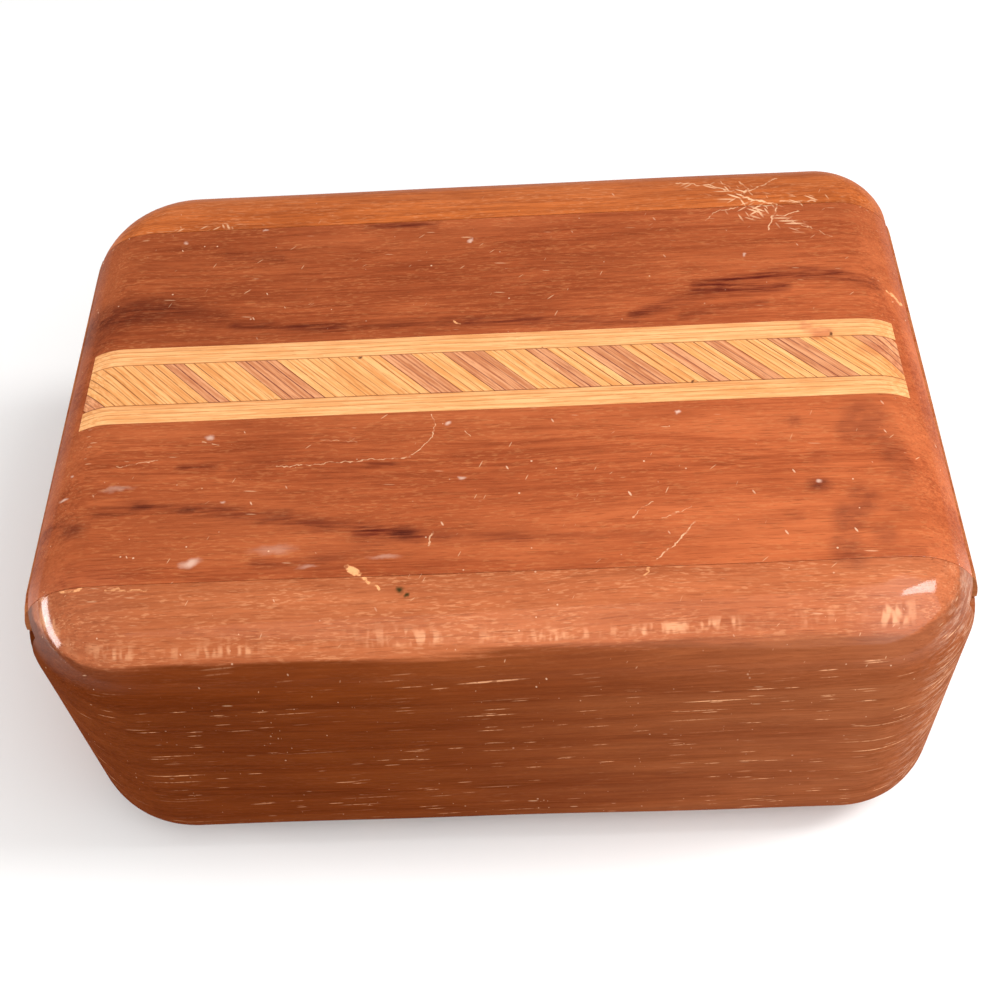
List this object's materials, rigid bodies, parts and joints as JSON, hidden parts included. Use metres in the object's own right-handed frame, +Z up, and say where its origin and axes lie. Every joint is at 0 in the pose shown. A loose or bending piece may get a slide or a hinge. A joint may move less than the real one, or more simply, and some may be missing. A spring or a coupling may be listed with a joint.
{
  "type": "wooden puzzle box",
  "caption": "Rounded wooden puzzle box with a sliding lid, a diagonal laminated inlay band and hidden steel lock pins.",
  "frame": {"origin": "middle of the base, on the surface the box stands on", "axes": "+Z up, +X along the inlay in the direction the lid slides open, -Y the front long side"},
  "size_m": [0.108, 0.079, 0.046],
  "materials": {
    "wall_wood": "satin varnish",
    "end_wood": "satin varnish",
    "lid_wood": "satin varnish",
    "runner_wood": "bare, waxed",
    "inlay_pale": "satin varnish",
    "inlay_rose": "satin varnish",
    "green_felt": "matte",
    "steel": "ground",
    "brass": "polished"
  },
  "bodies": {
    "box": {"front_wall": "wall_wood", "back_wall": "wall_wood", "left_end_block": "end_wood", "right_end_block": "end_wood", "base_board": "end_wood", "felt_lining": "green_felt"},
    "lid": {"lid_board": "lid_wood", "lid_runner_board": "runner_wood", "stop_screw": "brass", "inlay_front_edging": "inlay_pale", "inlay_back_edging": "inlay_pale", "inlay_pack_01_rose": "inlay_rose", "inlay_pack_02_pale": "inlay_pale", "inlay_pack_03_rose": "inlay_rose", "inlay_pack_04_pale": "inlay_pale", "inlay_pack_05_rose": "inlay_rose", "inlay_pack_06_pale": "inlay_pale", "inlay_pack_07_rose": "inlay_rose", "inlay_pack_08_pale": "inlay_pale", "inlay_pack_09_rose": "inlay_rose", "inlay_pack_10_pale": "inlay_pale", "inlay_pack_11_rose": "inlay_rose", "inlay_pack_12_pale": "inlay_pale", "inlay_pack_13_rose": "inlay_rose", "inlay_pack_14_pale": "inlay_pale", "inlay_pack_15_rose": "inlay_rose", "inlay_pack_16_pale": "inlay_pale", "inlay_pack_17_rose": "inlay_rose", "inlay_pack_18_pale": "inlay_pale", "inlay_pack_19_rose": "inlay_rose", "inlay_pack_20_pale": "inlay_pale", "inlay_pack_21_rose": "inlay_rose"},
    "front_left_pin": {"front_left_lock_pin": "steel"},
    "front_middle_pin": {"front_middle_lock_pin": "steel"},
    "back_left_pin": {"back_left_lock_pin": "steel"},
    "back_middle_pin": {"back_middle_lock_pin": "steel"}
  },
  "joints": [
    {"name": "lid_slide", "type": "slide", "parent": "box", "child": "lid", "axis": [1, 0, 0], "range_m": [0, 0.079]},
    {"name": "front_left_pin_slide", "type": "slide", "parent": "box", "child": "front_left_pin", "axis": [0, 1, 0], "range_m": [0, 0.003]},
    {"name": "front_middle_pin_slide", "type": "slide", "parent": "box", "child": "front_middle_pin", "axis": [0, 1, 0], "range_m": [0, 0.003]},
    {"name": "back_left_pin_slide", "type": "slide", "parent": "box", "child": "back_left_pin", "axis": [0, -1, 0], "range_m": [0, 0.003]},
    {"name": "back_middle_pin_slide", "type": "slide", "parent": "box", "child": "back_middle_pin", "axis": [0, -1, 0], "range_m": [0, 0.003]}
  ]
}
